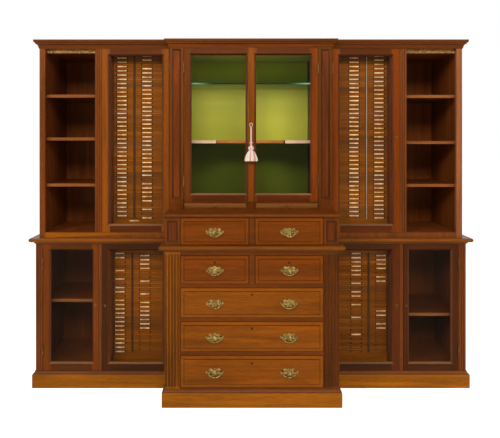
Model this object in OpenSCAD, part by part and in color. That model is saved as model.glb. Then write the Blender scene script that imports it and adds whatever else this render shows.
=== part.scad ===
// Breakfront library bookcase: glazed centre over drawers, two wings with tray banks and bookshelves.
// Origin: centre of the bounding box on the floor. +X to the right, +Y to the back, +Z up. Millimetres.

/* [Heights] */
// Full height, floor to top of cornice
overall_height = 2080; // [1960:10:2240]
// Plain board of the plinth
plinth_board_h = 80; // [60:1:110]
// Moulding on top of the plinth board
plinth_mould_h = 18; // [12:1:26]
// Height of the waist top above the floor
waist_top_z = 895; // [860:5:960]
// Thickness of the waist top
waist_t = 35; // [28:1:44]
// Height of the pair of drawers above the waist
frieze_h = 157; // [130:1:200]
// Thickness of the ledge board over those drawers
ledge_t = 18; // [14:1:26]
// Height of the cornice
cornice_h = 50; // [44:1:64]

/* [Widths] */
// Width of the centre block
centre_w = 970; // [900:10:1100]
// Width of one tray bay
tray_bay_w = 409; // [380:1:460]
// Width of one open bookshelf
shelf_bay_w = 298; // [260:1:380]
// Reeded strip between the upper bays
upper_strip_w = 42; // [34:1:50]
// Reeded strip between the lower bays
lower_strip_w = 20; // [18:1:26]
// Outer stile of an upper wing
upper_stile_w = 34; // [28:1:44]
// Reeded outer corner of a lower wing
lower_corner_w = 44; // [36:1:54]
// How far a lower wing stands out beyond the upper one at its end
end_step = 24; // [18:1:34]
// Width of the pilasters of the centre block
pilaster_w = 85; // [74:1:96]

/* [Depths] */
// Depth of the wings
wing_depth = 430; // [400:5:500]
// How far the lower centre stands in front of the wings
centre_step = 220; // [160:5:280]
// How far the upper centre stands in front of the wings
upper_step = 30; // [20:1:60]
// Projection of the waist moulding
waist_proj = 30; // [24:1:38]
// Projection of the plinth
plinth_proj = 15; // [11:1:20]
// Projection of the cornice
cornice_proj = 28; // [24:1:34]
// Projection of the ledge board at its front
ledge_proj = 12; // [8:1:20]
// Projection of the ledge board at its ends
ledge_end_proj = 5; // [1:0.5:6]

/* [Boards] */
// Thickness of the carcase sides
side_t = 20; // [16:0.5:22]
// Thickness of tops, bottoms and shelves
shelf_t = 18; // [14:0.5:20]
// Thickness of the backs
back_t = 8; // [6:0.5:12]
// Thickness of door frames, pilasters and strips
door_t = 24; // [22:0.5:30]
// Clearance between pieces that are seated on each other
fit = 0.3; // [0.2:0.05:0.4]
// Running gap round doors and drawers
run_gap = 1.5; // [1:0.1:2]

/* [Doors] */
// Width of the door stiles and top rails
door_stile_w = 45; // [38:1:52]
// Height of the bottom rails of the doors
door_bottom_w = 52; // [44:1:64]
// Narrow meeting stile of the left centre door
meeting_narrow_w = 17; // [15:0.5:20]
// Width of the sloping moulding round the glass
glass_mould_w = 13; // [8:0.5:15]
// Thickness of the panes
pane_t = 4; // [3:0.5:5]
// How far a pane sits in its rebate
pane_lap = 7; // [5:0.5:9]
// Gap that the two leaves of a hinge fill
hinge_gap = 3; // [2.8:0.1:4]
// Radius of the hinge knuckles
knuckle_r = 3.4; // [3:0.1:3.6]
// Length of a hinge
hinge_l = 64; // [50:1:76]
// Distance from the end of a door to the middle of its hinge
hinge_inset = 120; // [90:5:150]

/* [Drawers] */
// Height of the rails between the drawers
rail_h = 18; // [16:0.5:22]
// Height of the lowest long drawer
deep_drawer_h = 182; // [160:1:190]
// Height of the other two long drawers
long_drawer_h = 170; // [150:1:176]
// Thickness of the edge of a drawer front
front_t = 17; // [15:0.5:20]
// Height of the raised field above the edge
field_rise = 4; // [2:0.5:5]
// Width of the bevelled margin round the field
field_margin = 20; // [14:1:26]
// Thickness of drawer sides and backs
drawer_side_t = 10; // [8:0.5:12]
// Thickness of drawer bottoms
drawer_bottom_t = 6; // [4:0.5:8]
// Distance from the middle of the centre block to the handles
handle_x = 207; // [150:1:240]
// Distance between the two posts of a handle
post_gap = 60; // [50:1:70]
// How far the bail hangs below its posts
bail_drop = 28; // [22:0.5:34]
// Radius of the bail's bar
bail_r = 2.6; // [2:0.1:3]
// Radius of the bail's pivots
pivot_r = 1.6; // [1.2:0.1:1.8]

/* [Trays] */
// Height from one tray to the next
tray_pitch = 13.17; // [11:0.01:13.2]
// Width of the trays
tray_w = 329; // [300:1:335]
// How far the trays stand behind the front of their door
tray_setback = 90; // [70:1:120]
// Width of a label
label_w = 58; // [44:1:62]
// Height of a label
label_h = 8; // [5:0.1:9]
// Radius of the bone knob of a tray
tray_knob_r = 2.3; // [1.5:0.1:3]

/* [Cabinet] */
// Height of the zone of the two pull-out slides
slide_zone_h = 42; // [38:1:50]
// Height of the glass shelf above the floor
glass_shelf_z = 1826; // [1700:5:1900]
// Height of the cut-out wooden shelf above the floor
display_shelf_z = 1462; // [1300:5:1600]
// Length of cord between key and tassel
tassel_cord_l = 106; // [60:2:130]

/* [Hidden] */
$fn = 48;

// Colours
wood = "#7a3a12";
wood_light = "#8f4a17";
wood_dark = "#5a2810";
brass = "#b08d4a";
bone = "#e2c79a";
baize = "#6d7a2a";

// Heights worked out
base_z = plinth_board_h + plinth_mould_h;
waist_z = waist_top_z - waist_t;
frieze_top = waist_top_z + frieze_h;
ledge_top = frieze_top + ledge_t;
cornice_z = overall_height - cornice_h;
case_floor = ledge_top + slide_zone_h;

// Widths worked out, as distances from the middle
cx = centre_w / 2;
bay_x = cx + tray_bay_w;
upper_x = bay_x + upper_strip_w + shelf_bay_w + upper_stile_w;
lower_x = upper_x + end_step;
pil_x = cx - pilaster_w;
hinge_clear = 1.9;
tray_axis_x = cx + knuckle_r + hinge_clear;

// Depths worked out
total_depth = wing_depth + centre_step + waist_proj;
back_y = total_depth / 2;
wing_y = back_y - wing_depth;
low_y = wing_y - centre_step;
top_y = wing_y - upper_step;
frame_gap = 0.6;
behind = door_t + frame_gap;
side_gap = 1;
inner_back = back_y - back_t - fit;

// Mouldings, each a list of [projection, height] from the bottom up
arc_n = 6;
function hollow(p0, z0, p1, z1) =
    [for (i = [0:arc_n]) let (a = 90 * i / arc_n) [p0 + (p1 - p0) * (1 - cos(a)), z0 + (z1 - z0) * sin(a)]];
function round_over(p0, z0, p1, z1) =
    [for (i = [0:arc_n]) let (a = 90 * i / arc_n) [p0 + (p1 - p0) * sin(a), z0 + (z1 - z0) * (1 - cos(a))]];
function round_under(p0, z0, p1, z1) =
    [for (i = [0:arc_n]) let (a = 90 * i / arc_n) [p0 + (p1 - p0) * (1 - cos(a)), z0 + (z1 - z0) * sin(a)]];
function cornice_profile(g = 0) = concat(
    [[3 + g, 0], [3 + g, 5]],
    hollow(5 + g, 6, cornice_proj * 0.6 + g, cornice_h * 0.5),
    [[cornice_proj * 0.68 + g, cornice_h * 0.54], [cornice_proj * 0.68 + g, cornice_h * 0.62]],
    round_over(cornice_proj * 0.72 + g, cornice_h * 0.64, cornice_proj + g, cornice_h * 0.92),
    [[cornice_proj + g, cornice_h]]);
function waist_profile(g = 0) = concat(
    [[2 + g, 0]],
    hollow(4 + g, 2, waist_proj * 0.72 + g, waist_t * 0.36),
    round_over(waist_proj * 0.76 + g, waist_t * 0.4, waist_proj + g, waist_t * 0.7),
    [[waist_proj * 0.97 + g, waist_t * 0.86], [waist_proj * 0.86 + g, waist_t]]);
function plinth_profile() = concat(
    [[plinth_proj, 0], [plinth_proj, plinth_board_h]],
    [[plinth_proj * 0.9, plinth_board_h + 2]],
    [for (i = [1:arc_n]) let (a = 90 * i / arc_n)
        [plinth_proj * (0.9 - 0.7 * sin(a)), plinth_board_h + 2 + (plinth_mould_h - 4) * (1 - cos(a))]],
    [[plinth_proj * 0.2, base_z]]);
ledge_profile_n = 8;
function ledge_profile(p) =
    [for (i = [0:ledge_profile_n]) let (a = -90 + 180 * i / ledge_profile_n)
        [p - ledge_t * 0.25 * (1 - cos(a)), ledge_t * 0.5 * (1 + sin(a))]];

module board(x0, x1, y0, y1, z0, z1) {
    translate([x0, y0, z0]) cube([x1 - x0, y1 - y0, z1 - z0]);
}

// Two like pieces, one on each side of the middle
module pair() {
    children();
    mirror([1, 0, 0]) children();
}

// A piece drawn on the right, put on the side asked for
module on_side(left) {
    if (left) {
        mirror([1, 0, 0]) children();
    } else {
        children();
    }
}

module along_x(x0, x1) {
    translate([x0, 0, 0]) rotate([90, 0, 90]) linear_extrude(x1 - x0) children();
}

module along_y(y0, y1) {
    translate([0, y1, 0]) rotate([90, 0, 0]) linear_extrude(y1 - y0) children();
}

// A slab with a moulded front, and moulded ends where asked for
module moulded_slab(x0, x1, yf, yb, z0, profile, left_end, right_end) {
    n = len(profile);
    top = z0 + profile[n - 1][1];
    reach = waist_proj * 2;
    right_edge = right_end ? [for (q = profile) [x1 + q[0], z0 + q[1]]] : [[x1, z0], [x1, top]];
    left_edge = left_end ? [for (i = [n - 1:-1:0]) [x0 - profile[i][0], z0 + profile[i][1]]]
        : [[x0, top], [x0, z0]];
    intersection() {
        along_x(x0 - reach, x1 + reach)
            polygon(concat([for (q = profile) [yf - q[0], z0 + q[1]]], [[yb, top], [yb, z0]]));
        along_y(yf - reach, yb + 1) polygon(concat(right_edge, left_edge));
    }
}

// A block whose four front edges slope in: wide at y_wide, narrower by slope at y_narrow
module tapered_block(x0, x1, z0, z1, y_wide, y_narrow, slope) {
    intersection() {
        along_x(x0 - 1, x1 + 1)
            polygon([[y_wide, z0], [y_narrow, z0 + slope], [y_narrow, z1 - slope], [y_wide, z1]]);
        translate([0, 0, z0 - 1]) linear_extrude(z1 - z0 + 2)
            polygon([[x0, y_wide], [x0 + slope, y_narrow], [x1 - slope, y_narrow], [x1, y_wide]]);
    }
}

// Plinths: a moulded front, ends, a back board and bearers between them
plinth_wall = 22;
bearer_t = 18;
bearer_span = 250;
module plinth_frame(x0, x1, yf, left_end, right_end) {
    w = plinth_wall;
    reach = waist_proj * 2;
    intersection() {
        moulded_slab(x0, x1, yf, back_y, 0, plinth_profile(), left_end, right_end);
        board(x0 - reach, x1 + reach, yf - reach, yf + w, -1, base_z + 1);
    }
    intersection() {
        moulded_slab(x0, x1, yf, back_y, 0, plinth_profile(), left_end, right_end);
        union() {
            board(x0 - reach, x0 + w, yf + w + fit, back_y, -1, base_z + 1);
            board(x1 - w, x1 + reach, yf + w + fit, back_y, -1, base_z + 1);
        }
    }
    board(x0 + w + fit, x1 - w - fit, back_y - w, back_y, 0, base_z);
    count = ceil((x1 - x0 - 2 * w) / bearer_span);
    for (i = [1:count - 1]) {
        x = x0 + w + i * (x1 - x0 - 2 * w) / count;
        board(x - bearer_t / 2, x + bearer_t / 2, yf + w + fit, back_y - w - fit, 0, base_z);
    }
}
module plinths() {
    color(wood_light) {
        pair() plinth_frame(cx + plinth_proj + fit, lower_x, wing_y, false, true);
        plinth_frame(-cx, cx, low_y, true, true);
    }
}

// Carcase of one wing, as separate boards
module lower_wing_boards() {
    z0 = base_z;
    z1 = waist_z;
    yf = wing_y + behind;
    board(cx + side_gap, cx + side_t, yf, inner_back, z0, z1);
    board(cx + fit, tray_axis_x - hinge_gap / 2, wing_y, yf - fit, z0, z1);
    board(bay_x, bay_x + lower_strip_w, yf, inner_back, z0, z1);
    board(lower_x - side_t, lower_x, yf, inner_back, z0, z1);
    board(cx + side_gap, lower_x, back_y - back_t, back_y, z0, z1);
    for (span = [[cx + side_t + fit, bay_x - fit], [bay_x + lower_strip_w + fit, lower_x - side_t - fit]]) {
        board(span[0], span[1], yf, inner_back, z0, z0 + shelf_t);
        board(span[0], span[1], yf, inner_back, z1 - shelf_t, z1);
    }
    tray_case(z0 + shelf_t + fit, z1 - shelf_t - fit, lower_trays, lower_tray_z);
}
part_x = bay_x + upper_strip_w - side_t;
module upper_wing_boards() {
    z0 = waist_top_z;
    z1 = cornice_z;
    yf = wing_y + behind;
    board(cx + side_gap, cx + side_t, yf, inner_back, z0, z1);
    board(cx + fit, tray_axis_x - hinge_gap / 2, wing_y, yf - fit, z0 + base_rail_h + fit, z1);
    board(part_x, part_x + side_t, yf, inner_back, z0, z1);
    board(upper_x - side_t, upper_x, yf, inner_back, z0, z1);
    board(cx + side_gap, upper_x, back_y - back_t, back_y, z0, z1);
    for (span = [[cx + side_t + fit, part_x - fit], [part_x + side_t + fit, upper_x - side_t - fit]]) {
        board(span[0], span[1], yf, inner_back, z0 + base_rail_h - shelf_t, z0 + base_rail_h);
        board(span[0], span[1], yf, inner_back, z1 - shelf_t, z1);
    }
    board(cx + side_gap, upper_x - upper_stile_w - fit, wing_y, yf - fit, z0, z0 + base_rail_h);
    tray_case(z0 + base_rail_h + fit, z1 - shelf_t - fit, upper_trays, upper_tray_z);
}

// Sides, sill and head round a bank of trays
base_rail_h = 32;
tray_guide_t = 10;
tray_x0 = cx + side_t + fit + tray_guide_t;
tray_x1 = tray_x0 + tray_w + 2 * fit;
lower_sill_h = 53;
upper_sill_h = 67.5;
lower_tray_z = base_z + shelf_t + lower_sill_h;
upper_tray_z = waist_top_z + base_rail_h + upper_sill_h;
lower_head_h = 50;
upper_trays = floor((cornice_z - shelf_t - fit - upper_tray_z) / tray_pitch);
lower_trays = floor((waist_z - shelf_t - fit - lower_head_h - lower_tray_z) / tray_pitch);
module tray_case(z0, z1, count, first_z) {
    yf = wing_y + behind;
    board(tray_x0 - tray_guide_t, tray_x0, yf, inner_back, z0, z1);
    board(tray_x1, tray_x1 + tray_guide_t, yf, inner_back, z0, z1);
    ty = wing_y + tray_setback;
    board(tray_x0 + fit, tray_x1 - fit, ty, ty + shelf_t, z0, first_z - fit);
    board(tray_x0 + fit, tray_x1 - fit, ty, ty + shelf_t, first_z + count * tray_pitch, z1);
}
module tray_bank(count, first_z) {
    for (i = [0:count - 1]) {
        z = first_z + i * tray_pitch;
        board(tray_x0 + fit, tray_x1 - fit, wing_y + tray_setback, inner_back - fit, z, z + tray_pitch - fit);
    }
}
module slide_trays() {
    color(wood_light) pair() {
        tray_bank(upper_trays, upper_tray_z);
        tray_bank(lower_trays, lower_tray_z);
    }
}

// Bone labels, alternately on the left and on the right, and a bone knob on every tray
label_t = 1.4;
upper_knob_x = tray_x0 + tray_w * 0.612;
lower_knob_x = tray_x0 + tray_w * 0.652;
tray_knob_l = 5;
label_offset = tray_w * 0.234;
module label_bank(count, first_z, knob_x, first_column) {
    label_x = [knob_x - label_offset, knob_x + label_offset];
    y = wing_y + tray_setback - fit;
    for (i = [0:count - 1]) {
        z = first_z + (i + 0.5) * tray_pitch - fit / 2;
        lx = label_x[(i + first_column) % 2];
        board(lx - label_w / 2, lx + label_w / 2, y - label_t, y, z - label_h / 2, z + label_h / 2);
        translate([knob_x, y, z]) rotate([90, 0, 0]) cylinder(r = tray_knob_r, h = tray_knob_l, $fn = 16);
    }
}
module tray_labels() {
    color(bone) {
        label_bank(upper_trays, upper_tray_z, upper_knob_x, 1);
        label_bank(lower_trays, lower_tray_z, lower_knob_x, 0);
        mirror([1, 0, 0]) {
            label_bank(upper_trays, upper_tray_z, upper_knob_x, 0);
            label_bank(lower_trays, lower_tray_z, lower_knob_x, 1);
        }
    }
}

module lower_wing_carcases() {
    color(wood) pair() lower_wing_boards();
}
module upper_wing_carcases() {
    color(wood) pair() upper_wing_boards();
}

// Lower centre: sides, guides, bottom, dust boards, divider and back
bottom_t = 6;
drawer_z = [
    base_z + bottom_t,
    base_z + bottom_t + deep_drawer_h + rail_h,
    base_z + bottom_t + deep_drawer_h + long_drawer_h + 2 * rail_h,
    base_z + bottom_t + deep_drawer_h + 2 * long_drawer_h + 3 * rail_h
];
short_top = waist_z - rail_h;
divider_w = 30;
guide_t = 12;
module lower_centre_boards() {
    yf = low_y + behind;
    half = pil_x - fit;
    pair() board(cx - side_t, cx, yf, inner_back, base_z, waist_z);
    pair() board(pil_x, pil_x + guide_t, yf, inner_back, base_z, waist_z);
    board(-cx, cx, back_y - back_t, back_y, base_z, waist_z);
    board(-half, half, low_y, inner_back, base_z, base_z + bottom_t);
    for (i = [1:3]) {
        board(-half, half, low_y, inner_back, drawer_z[i] - rail_h, drawer_z[i]);
    }
    board(-half, half, low_y, inner_back, short_top, waist_z);
    board(-divider_w / 2, divider_w / 2, low_y, inner_back, drawer_z[3] + fit, short_top - fit);
}

// Waist tops over the three lower cases
module wing_waist(g = 0) {
    moulded_slab(cx + fit - g, lower_x, wing_y, back_y, waist_z, waist_profile(g), false, true);
}
module waist_tops() {
    color(wood_light) {
        pair() wing_waist();
        difference() {
            moulded_slab(-cx, cx, low_y, back_y, waist_z, waist_profile(), true, true);
            pair() board(cx, lower_x, wing_y - waist_proj - fit, back_y + 1, waist_z - 1, waist_top_z + 1);
        }
    }
}

// Frieze case with its ledge board
module frieze_boards() {
    yf = low_y + behind;
    pair() board(cx - side_t, cx, yf, inner_back, waist_top_z, frieze_top);
    pair() board(pil_x, pil_x + guide_t, yf, inner_back, waist_top_z, frieze_top);
    board(-cx, cx, back_y - back_t, back_y, waist_top_z, frieze_top);
    board(-divider_w / 2, divider_w / 2, low_y, inner_back, waist_top_z, frieze_top);
    difference() {
        moulded_slab(-cx, cx, low_y, inner_back, frieze_top + fit, ledge_board_profile(), true, true);
        pair() board(cx, lower_x, wing_y - waist_proj, back_y, frieze_top - 1, ledge_top + 1);
        pair() board(cx + ledge_end_proj, lower_x, low_y - 30, back_y, frieze_top - 1, ledge_top + 1);
    }
}
function ledge_board_profile() =
    [for (q = ledge_profile(ledge_proj)) [q[0], q[1] * (ledge_t - fit) / ledge_t]];
module centre_carcases() color(wood) {
    lower_centre_boards();
    frieze_boards();
}

// Upper centre: sides, floor, head, slide runners and back
slide_rail_h = 7;
case_floor_t = 6;
sill_rise = 2;
module upper_centre_carcase() color(wood) {
    yf = top_y + behind;
    half = pil_x - fit;
    inner = cx - side_t - fit;
    floor_z = case_floor - case_floor_t;
    pair() board(cx - side_t, cx, yf, inner_back, ledge_top, cornice_z);
    pair() board(pil_x, pil_x + guide_t, yf, inner_back, case_floor + fit, cornice_z - shelf_t - fit);
    pair() board(pil_x, pil_x + guide_t, yf, inner_back, ledge_top + slide_rail_h + fit, floor_z - fit);
    board(-cx, cx, back_y - back_t, back_y, ledge_top, cornice_z);
    board(-inner, inner, yf, inner_back, floor_z, case_floor);
    board(-inner, inner, yf, inner_back, cornice_z - shelf_t, cornice_z);
    board(-half, half, top_y, yf - fit, floor_z, case_floor + sill_rise);
    board(-half, half, top_y, yf - fit, ledge_top, ledge_top + slide_rail_h);
    board(-inner, inner, yf, inner_back, ledge_top, ledge_top + slide_rail_h);
    board(-slide_mid, slide_mid, top_y, inner_back, ledge_top + slide_rail_h + fit, floor_z - fit);
}

// Cornice in three lengths
module wing_cornice(g = 0) {
    moulded_slab(cx + fit - g, upper_x, wing_y, back_y, cornice_z, cornice_profile(g), false, true);
}
module cornice() {
    color(wood_dark) {
        pair() wing_cornice();
        difference() {
            moulded_slab(-cx, cx, top_y, back_y, cornice_z, cornice_profile(), true, true);
            pair() board(cx, upper_x, wing_y - 3, back_y + 1, cornice_z - 1, overall_height + 1);
            pair() wing_cornice(fit);
        }
    }
}

// Reeded strip: half-round reeds side by side on a sunk ground
reed_gap = 2;
module reeded(x0, x1, yf, z0, z1, count, rim) {
    pitch = (x1 - x0 - 2 * rim) / count;
    r = (pitch - reed_gap) / 2;
    board(x0, x1, yf + r * 0.8, yf + door_t, z0, z1);
    for (i = [0:count - 1]) {
        translate([x0 + rim + (i + 0.5) * pitch, yf + r, z0]) cylinder(r = r, h = z1 - z0);
    }
}

// Fluted pilaster, the lower third of its flutes filled with rods
flutes = 5;
flute_r = 5.5;
flute_end = 14;
rod_top = 240;
module fluted(x0, x1, yf, z0, z1) {
    pitch = (x1 - x0) / flutes;
    difference() {
        board(x0, x1, yf, yf + door_t, z0, z1);
        for (i = [0:flutes - 1]) {
            translate([x0 + (i + 0.5) * pitch, yf - flute_r * 0.25, z0 + flute_end])
                cylinder(r = flute_r, h = z1 - z0 - 2 * flute_end);
        }
    }
    for (i = [0:flutes - 1]) {
        translate([x0 + (i + 0.5) * pitch, yf + 2.2, z0 + flute_end - 2])
            cylinder(r = flute_r * 0.76, h = rod_top - flute_end);
    }
}

// Pilaster with a sunk panel and a moulded rim
panel_sink = 5;
rim_w = 9;
module sunk_panel(x0, x1, yf, z0, z1, edge_x, edge_z) {
    difference() {
        board(x0, x1, yf, yf + door_t, z0, z1);
        tapered_block(x0 + edge_x, x1 - edge_x, z0 + edge_z, z1 - edge_z, yf - 0.01, yf + panel_sink, rim_w);
    }
}
foot_h = 27;
block_h = 30;
block_proj = 6;
foot_proj = 11;
frieze_panel_x = 13;
frieze_panel_z = 20;
shaft_panel_x = 16;
shaft_panel_z = 8;
module pilasters() {
    block_z = ledge_top + foot_h + fit;
    shaft_z = block_z + block_h + fit;
    strip_z = waist_top_z + base_rail_h + fit;
    color(wood_light) pair() {
        fluted(pil_x + fit, cx, low_y, base_z, waist_z);
        sunk_panel(pil_x + fit, cx, low_y, waist_top_z, frieze_top, frieze_panel_x, frieze_panel_z);
        sunk_panel(pil_x + fit, cx, top_y, shaft_z, cornice_z, shaft_panel_x, shaft_panel_z);
        board(pil_x + fit, cx, top_y - foot_proj, top_y + door_t, ledge_top, ledge_top + foot_h);
        board(pil_x + fit, cx, top_y - block_proj, top_y + door_t, block_z, block_z + block_h);
        reeded(bay_x, bay_x + upper_strip_w, wing_y, strip_z, cornice_z, 3, 1);
        reeded(bay_x, bay_x + lower_strip_w, wing_y, base_z, waist_z, 2, 0.5);
        reeded(lower_x - lower_corner_w, lower_x, wing_y, base_z, waist_z, 3, 2);
        board(upper_x - upper_stile_w, upper_x, wing_y, wing_y + door_t, waist_top_z, cornice_z);
    }
}

// Shelves: three in each upper bay, one in each lower bay, and the cut-out one behind glass
left_shelf_z = [1200, 1479, 1739];
right_shelf_z = [1198, 1458, 1737];
left_low_shelf_z = 494;
right_low_shelf_z = 408;
shelf_setback = 6;
low_shelf_setback = 30;
display_setback = 50;
glass_setback = 90;
glass_shelf_t = 8;
module upper_shelf(z) {
    x0 = part_x + side_t + fit;
    board(x0, upper_x - side_t - fit, wing_y + behind + shelf_setback, inner_back, z, z + shelf_t);
}
module lower_shelf(z) {
    x0 = bay_x + lower_strip_w + fit;
    board(x0, lower_x - side_t - fit, wing_y + behind + low_shelf_setback, inner_back, z, z + shelf_t);
}
shelf_wing_w = 190;
shelf_recess = 110;
module display_shelf() {
    yf = top_y + behind + display_setback;
    difference() {
        board(-pil_x + fit, pil_x - fit, yf, inner_back - baize_t - fit,
            display_shelf_z, display_shelf_z + shelf_t);
        board(-pil_x + shelf_wing_w, pil_x - shelf_wing_w, yf - 1, yf + shelf_recess,
            display_shelf_z - 1, display_shelf_z + shelf_t + 1);
    }
}
module wooden_shelves() {
    color(wood_light) {
        for (z = right_shelf_z) upper_shelf(z);
        for (z = left_shelf_z) mirror([1, 0, 0]) upper_shelf(z);
        lower_shelf(right_low_shelf_z);
        mirror([1, 0, 0]) lower_shelf(left_low_shelf_z);
        display_shelf();
    }
}
module glass_shelf() {
    color("#bfe0cf", 0.5)
        board(-pil_x + fit, pil_x - fit, top_y + behind + glass_setback, inner_back - baize_t - fit,
            glass_shelf_z, glass_shelf_z + glass_shelf_t);
}

// Green cloth glued to the back of the cabinet
baize_t = 2;
module baize_lining() {
    color(baize)
        board(-pil_x + fit, pil_x - fit, inner_back - baize_t, inner_back,
            case_floor + fit, cornice_z - shelf_t - fit);
}

// Scalloped leather fringe under the head of each open bookshelf
fringe_h = 25;
fringe_t = 2;
scallop_w = 18.5;
module fringe() {
    x0 = bay_x + upper_strip_w + fit;
    x1 = upper_x - upper_stile_w - fit;
    count = floor((x1 - x0) / scallop_w);
    pitch = (x1 - x0) / count;
    along_y(wing_y + behind - fit - fringe_t, wing_y + behind - fit) {
        translate([x0, cornice_z - fringe_h + pitch / 2 - fit]) square([x1 - x0, fringe_h - pitch / 2]);
        for (i = [0:count - 1]) {
            translate([x0 + (i + 0.5) * pitch, cornice_z - fringe_h + pitch / 2])
                circle(r = pitch / 2, $fn = 24);
        }
    }
}
module dust_fringes() {
    color("#b98a3c") pair() fringe();
}

// Butt hinge about a vertical axis: x of the axis, y of the axis, middle height, side of the door
leaf_t = 1.2;
leaf_y = 18;
pin_clear = 0.06;
pin_r = 1.6;
knuckle_gap = 0.2;
knuckle_y = knuckle_r + knuckle_gap;
leaf_gap = 0.15;
leaf_start = 1.5;
leaf_off = hinge_gap / 2 - leaf_t / 2 - leaf_gap;
module hinge_fixed(x, yf, z, door_right) {
    lx = x + (door_right ? -leaf_off : leaf_off);
    y = yf - knuckle_y;
    third = hinge_l / 3;
    translate([x, y, z - hinge_l / 2]) cylinder(r = pin_r, h = hinge_l);
    for (k = [-1, 1]) {
        z0 = z + k * third - third / 2;
        translate([x, y, z0]) cylinder(r = knuckle_r, h = third);
        board(lx - leaf_t / 2, lx + leaf_t / 2, y, yf + leaf_y, z0, z0 + third);
    }
    board(lx - leaf_t / 2, lx + leaf_t / 2, yf + leaf_start, yf + leaf_y, z - hinge_l / 2, z + hinge_l / 2);
}
module hinge_moving(x, yf, z, door_right) {
    lx = x + (door_right ? leaf_off : -leaf_off);
    y = yf - knuckle_y;
    mid_h = hinge_l / 3 - 2 * fit;
    difference() {
        union() {
            translate([x, y, z - mid_h / 2]) cylinder(r = knuckle_r, h = mid_h);
            board(lx - leaf_t / 2, lx + leaf_t / 2, y, yf + leaf_y, z - mid_h / 2, z + mid_h / 2);
        }
        translate([x, y, z - mid_h]) cylinder(r = pin_r + pin_clear, h = 2 * mid_h);
    }
}

// Door spans: [x0, x1, z0, z1, front y], drawn on the right-hand side
case_door = [run_gap / 2, pil_x - hinge_gap, case_floor + sill_rise + run_gap, cornice_z - run_gap, top_y];
tray_door_x0 = tray_axis_x + hinge_gap / 2;
upper_tray_door =
    [tray_door_x0, bay_x - run_gap, waist_top_z + base_rail_h + run_gap, cornice_z - run_gap, wing_y];
lower_tray_door = [tray_door_x0, bay_x - run_gap, base_z + run_gap, waist_z - run_gap, wing_y];
book_door = [bay_x + lower_strip_w + run_gap, lower_x - lower_corner_w - hinge_gap,
    base_z + run_gap, waist_z - run_gap, wing_y];
function hinge_heights(d) = [d[2] + hinge_inset, d[3] - hinge_inset];
module hinge_set(d, axis_x, door_right, fixed) {
    for (z = hinge_heights(d)) {
        if (fixed) {
            hinge_fixed(axis_x, d[4], z, door_right);
        } else {
            hinge_moving(axis_x, d[4], z, door_right);
        }
    }
}
module hinge_leaves() {
    color(brass) pair() {
        hinge_set(case_door, pil_x - hinge_gap / 2, false, true);
        hinge_set(upper_tray_door, tray_axis_x, true, true);
        hinge_set(lower_tray_door, tray_axis_x, true, true);
        hinge_set(book_door, lower_x - lower_corner_w - hinge_gap / 2, false, true);
    }
}

// Glazed door frame of two stiles and two rails: s is the sight size [x0, x1, z0, z1] of the flat frame
module glazed_frame(d, s) {
    m = glass_mould_w;
    yf = d[4];
    xs = s[0] + m;
    xe = s[1] - m;
    for (r = [
        [d[0], xs, d[2], d[3]],
        [xe, d[1], d[2], d[3]],
        [xs + fit, xe - fit, d[2], s[2] + m],
        [xs + fit, xe - fit, s[3] - m, d[3]]
    ]) {
        difference() {
            board(r[0], r[1], yf, yf + door_t, r[2], r[3]);
            tapered_block(s[0], s[1], s[2], s[3], yf - 0.01, yf + pane_y, m * 0.75);
            board(xs, xe, yf - 1, yf + door_t + 1, s[2] + m, s[3] - m);
            board(xs - pane_lap, xe + pane_lap, yf + pane_y, yf + door_t + 1,
                s[2] + m - pane_lap, s[3] - m + pane_lap);
        }
    }
}
lock_r = 7;
lock_t = 1.4;
module lock_plate(x, z, yf) {
    translate([x, yf - fit, z]) rotate([90, 0, 0]) cylinder(r = lock_r, h = lock_t);
}
pane_y = 10;
module pane(d, gx0, gx1, gz0, gz1) {
    m = glass_mould_w - pane_lap + fit;
    color("#dfe9e6", 0.3)
        board(gx0 + m, gx1 - m, d[4] + pane_y + fit, d[4] + pane_y + fit + pane_t, gz0 + m, gz1 - m);
}

// Sight sizes of the doors: [x0, x1, z0, z1] of the inner edge of the flat frame
function sight(d, w0, w1) =
    [d[0] + w0, d[1] - w1, d[2] + door_bottom_w - glass_mould_w, d[3] - door_stile_w + glass_mould_w];
plain_stile = door_stile_w - glass_mould_w + 2;
tray_stile = plain_stile - 3;
book_stile = 26;
book_lock_x = 16;
tray_sight_u = sight(upper_tray_door, tray_stile, plain_stile);
tray_sight_l = sight(lower_tray_door, tray_stile, plain_stile);
book_sight = sight(book_door, book_stile, plain_stile);
wide_meeting_w = 51;
high_lock_z = 1500;
low_lock_z = 488;
module tray_door(d, s, lock_z) {
    color(wood_light) {
        glazed_frame(d, s);
        lock_plate(d[1] - plain_stile / 2, lock_z, d[4]);
        hinge_set(d, tray_axis_x, true, false);
    }
}
module book_door_frame() {
    color(wood_light) {
        glazed_frame(book_door, book_sight);
        lock_plate(book_door[0] + book_lock_x, low_lock_z, book_door[4]);
        hinge_set(book_door, lower_x - lower_corner_w - hinge_gap / 2, false, false);
    }
}
module upper_left_tray_door() on_side(true) tray_door(upper_tray_door, tray_sight_u, high_lock_z);
module upper_right_tray_door() on_side(false) tray_door(upper_tray_door, tray_sight_u, high_lock_z);
module lower_left_tray_door() on_side(true) tray_door(lower_tray_door, tray_sight_l, low_lock_z);
module lower_right_tray_door() on_side(false) tray_door(lower_tray_door, tray_sight_l, low_lock_z);
module left_book_door() on_side(true) book_door_frame();
module right_book_door() on_side(false) book_door_frame();
module bay_pane(d, s) pane(d, s[0], s[1], s[2], s[3]);
module upper_left_tray_pane() on_side(true) bay_pane(upper_tray_door, tray_sight_u);
module upper_right_tray_pane() on_side(false) bay_pane(upper_tray_door, tray_sight_u);
module lower_left_tray_pane() on_side(true) bay_pane(lower_tray_door, tray_sight_l);
module lower_right_tray_pane() on_side(false) bay_pane(lower_tray_door, tray_sight_l);
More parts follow.
